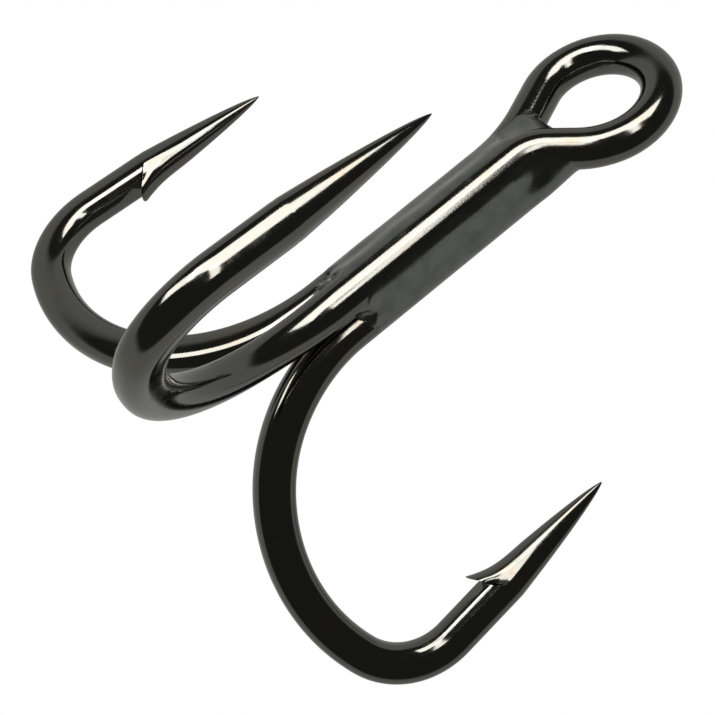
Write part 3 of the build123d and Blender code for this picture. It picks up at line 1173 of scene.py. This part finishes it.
class TREBLE_OT_single_hook(bpy.types.Operator):
    """Sweep the single hook, whose plain shank lies in the groove of the long wire"""

    bl_idname = "treble.single_hook"
    bl_label = "Single hook"

    def execute(self, context):
        sizes = context.scene.treble_wire
        foot = wire_foot(sizes, SINGLE_AZIMUTH)
        top = np.array([*foot[:2], SINGLE_HIGH.z])
        rounded_end = top - UP * sizes.end_rounding
        points = (straight(top, rounded_end, END_STEP) + straight(rounded_end, foot, sizes.ring_step)
                  + hook_points(sizes, SINGLE_AZIMUTH))
        body = path_object("single_wire", sizes, points, (SINGLE_AZIMUTH,))
        sweep_wire(body, sizes.sides, shared_material("Black nickel wire", plated_wire_material))
        shape_wire(body, sizes, context.scene.treble_barb)
        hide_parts("single_hook")
        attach(body, "root")
        return {"FINISHED"}


class TREBLE_OT_braze(bpy.types.Operator):
    """Flow the braze into the grooves of the shank and the throat of the eye"""

    bl_idname = "treble.braze"
    bl_label = "Braze"

    def execute(self, context):
        sizes, fill = context.scene.treble_wire, context.scene.treble_braze
        shank = Shank(sizes)
        material = shared_material("Black nickel braze", plated_braze_material)
        for name, pair, reach, low, turn_limit, lump in groove_runs(fill):
            middle = around(sum(pair) / 2) * GROOVE_MIDDLE
            field = groove_field(shank, [angle % 360 for angle in pair], reach, low, turn_limit, lump)
            body = build_braze("flow_" + name, field,
                               middle + (-GROOVE_SIDE, -GROOVE_SIDE, low - BOX_MARGIN),
                               middle + (GROOVE_SIDE, GROOVE_SIDE, GROOVE_TOP + BOX_MARGIN),
                               fill.step, material)
            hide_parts(name)
            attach(body, "root")

        core = bpy.data.objects["core_braze"]
        core.data.materials.clear()
        core.data.materials.append(material)

        ramp_foot = wire_foot(sizes, SINGLE_AZIMUTH) * (1, 1, 0) + UP * (SINGLE_HIGH.z - RAMP_FOOT)
        low, high = np.array(THROAT_BOX)
        field = throat_field(shank, fill, ramp_foot)
        body = build_braze("flow_throat", field, low, high, fill.step, material)
        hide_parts("throat_braze")
        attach(body, "root")
        return {"FINISHED"}


class TREBLE_OT_studio(bpy.types.Operator):
    """Set out the floor, the lights and the camera"""

    bl_idname = "treble.studio"
    bl_label = "Studio"

    def execute(self, context):
        studio = context.scene.treble_studio
        make_floor(studio)
        make_world(studio)
        for soft_box in SOFT_BOXES:
            make_soft_box(studio, *soft_box)
        make_camera(studio)
        context.scene.view_settings.view_transform = "Standard"
        return {"FINISHED"}


def direction(azimuth, elevation):
    """The unit vector towards an azimuth and elevation in radians."""
    return Vector((math.cos(elevation) * math.cos(azimuth), math.cos(elevation) * math.sin(azimuth),
                   math.sin(elevation)))


def make_soft_box(studio, name, azimuth, elevation, width, height, tilt, radiance):
    """An area light that looks at the hook from far off."""
    towards = direction(math.radians(azimuth), math.radians(elevation))
    data = bpy.data.lights.new(name, "AREA")
    data.shape = "RECTANGLE"
    data.size, data.size_y = (
        2 * studio.light_distance * math.tan(math.radians(angle / 2)) for angle in (width, height)
    )
    data.energy = radiance * math.pi * data.size * data.size_y
    data.color = studio.light_colour[:3]
    light = place_object(name, data)
    light.location = Vector(studio.camera_target) + towards * studio.light_distance
    light.rotation_mode = "QUATERNION"
    light.rotation_quaternion = ((-towards).to_track_quat("-Z", "Y")
                                 @ Quaternion((0, 0, 1), math.radians(tilt)))


def make_floor(studio):
    """A plain pale floor that only shows its upper side."""
    material, node, link = new_material("Floor")
    shader = node("ShaderNodeBsdfDiffuse")
    shader.inputs["Color"].default_value = studio.floor_colour
    clear = node("ShaderNodeBsdfTransparent")
    side = node("ShaderNodeNewGeometry")
    mix = node("ShaderNodeMixShader")
    out = node("ShaderNodeOutputMaterial")
    link(side.outputs["Backfacing"], mix.inputs["Fac"])
    link(shader.outputs["BSDF"], mix.inputs[1])
    link(clear.outputs["BSDF"], mix.inputs[2])
    link(mix.outputs["Shader"], out.inputs["Surface"])
    half, level = studio.floor_size / 2, LONG_WIRE_LOW.z
    mesh = bpy.data.meshes.new("floor")
    mesh.from_pydata([(-half, -half, level), (half, -half, level), (half, half, level),
                      (-half, half, level)], [], [(0, 1, 2, 3)])
    mesh.materials.append(material)
    floor = place_object("floor", mesh)
    floor.visible_glossy = False


def make_world(studio):
    """White to the eye and to the floor; what the metal mirrors is a dark room and a pale backdrop."""
    world = bpy.data.worlds.new("Studio")
    world.use_nodes = True
    tree = world.node_tree
    tree.nodes.clear()
    node, link = tree.nodes.new, tree.links.new
    place, towards = node("ShaderNodeTexCoord"), node("ShaderNodeVectorMath")
    towards.operation = "DOT_PRODUCT"
    towards.inputs[1].default_value = direction(studio.room_azimuth, studio.room_elevation)
    behind = node("ShaderNodeMapRange")
    set_range(behind, *ROOM_EDGE, 0.0, 1.0)
    mirrored = node("ShaderNodeMix")
    mirrored.data_type = "RGBA"
    mirrored.inputs["A"].default_value = studio.room_colour
    mirrored.inputs["B"].default_value = studio.backdrop_colour
    ray, lit = node("ShaderNodeLightPath"), node("ShaderNodeMath")
    lit.operation = "MAXIMUM"
    seen = node("ShaderNodeMix")
    seen.data_type = "RGBA"
    plain = node("ShaderNodeMix")
    plain.data_type = "RGBA"
    plain.inputs["B"].default_value = (1.0, 1.0, 1.0, 1.0)
    plain.inputs["A"].default_value = studio.fill_colour
    background, out = node("ShaderNodeBackground"), node("ShaderNodeOutputWorld")
    link(place.outputs["Generated"], towards.inputs[0])
    link(towards.outputs["Value"], behind.inputs["Value"])
    link(behind.outputs["Result"], mirrored.inputs["Factor"])
    link(ray.outputs["Is Camera Ray"], plain.inputs["Factor"])
    link(ray.outputs["Is Camera Ray"], lit.inputs[0])
    link(ray.outputs["Is Diffuse Ray"], lit.inputs[1])
    link(lit.outputs["Value"], seen.inputs["Factor"])
    link(mirrored.outputs["Result"], seen.inputs["A"])
    link(plain.outputs["Result"], seen.inputs["B"])
    link(seen.outputs["Result"], background.inputs["Color"])
    link(background.outputs["Background"], out.inputs["Surface"])
    bpy.context.scene.world = world


def make_camera(studio):
    """The camera, turned about its line of sight."""
    back = direction(studio.camera_azimuth, studio.camera_elevation)
    data = bpy.data.cameras.new("Camera")
    data.lens = studio.lens
    data.clip_start = 1 * MM
    camera = place_object("Camera", data)
    camera.location = Vector(studio.camera_target) + back * studio.camera_distance
    camera.rotation_mode = "QUATERNION"
    camera.rotation_quaternion = ((-back).to_track_quat("-Z", "Y")
                                  @ Quaternion((0, 0, 1), studio.camera_roll))
    bpy.context.scene.camera = camera


class TREBLE_PT_panel(bpy.types.Panel):
    """Lists the steps that build the treble hook"""

    bl_idname = "TREBLE_PT_panel"
    bl_label = "Treble hook"
    bl_space_type = "VIEW_3D"
    bl_region_type = "UI"
    bl_category = "Treble hook"

    def draw(self, context):
        for step in STEPS:
            self.layout.operator(step.bl_idname)


STEPS = (TREBLE_OT_long_wire, TREBLE_OT_single_hook, TREBLE_OT_braze, TREBLE_OT_studio)
GROUPS = {
    "treble_wire": TrebleWireSizes, "treble_barb": TrebleBarbSizes, "treble_braze": TrebleBrazeSizes,
    "treble_finish": TrebleFinish, "treble_studio": TrebleStudio,
}


def register():
    for name, group in GROUPS.items():
        bpy.utils.register_class(group)
        setattr(bpy.types.Scene, name, bpy.props.PointerProperty(type=group))
    for step in (*STEPS, TREBLE_PT_panel):
        bpy.utils.register_class(step)


def unregister():
    for step in reversed((*STEPS, TREBLE_PT_panel)):
        bpy.utils.unregister_class(step)
    for name, group in GROUPS.items():
        delattr(bpy.types.Scene, name)
        bpy.utils.unregister_class(group)


def main():
    register()
    bpy.ops.treble.long_wire()
    bpy.ops.treble.single_hook()
    bpy.ops.treble.braze()
    bpy.ops.treble.studio()


if __name__ == "__main__":
    main()
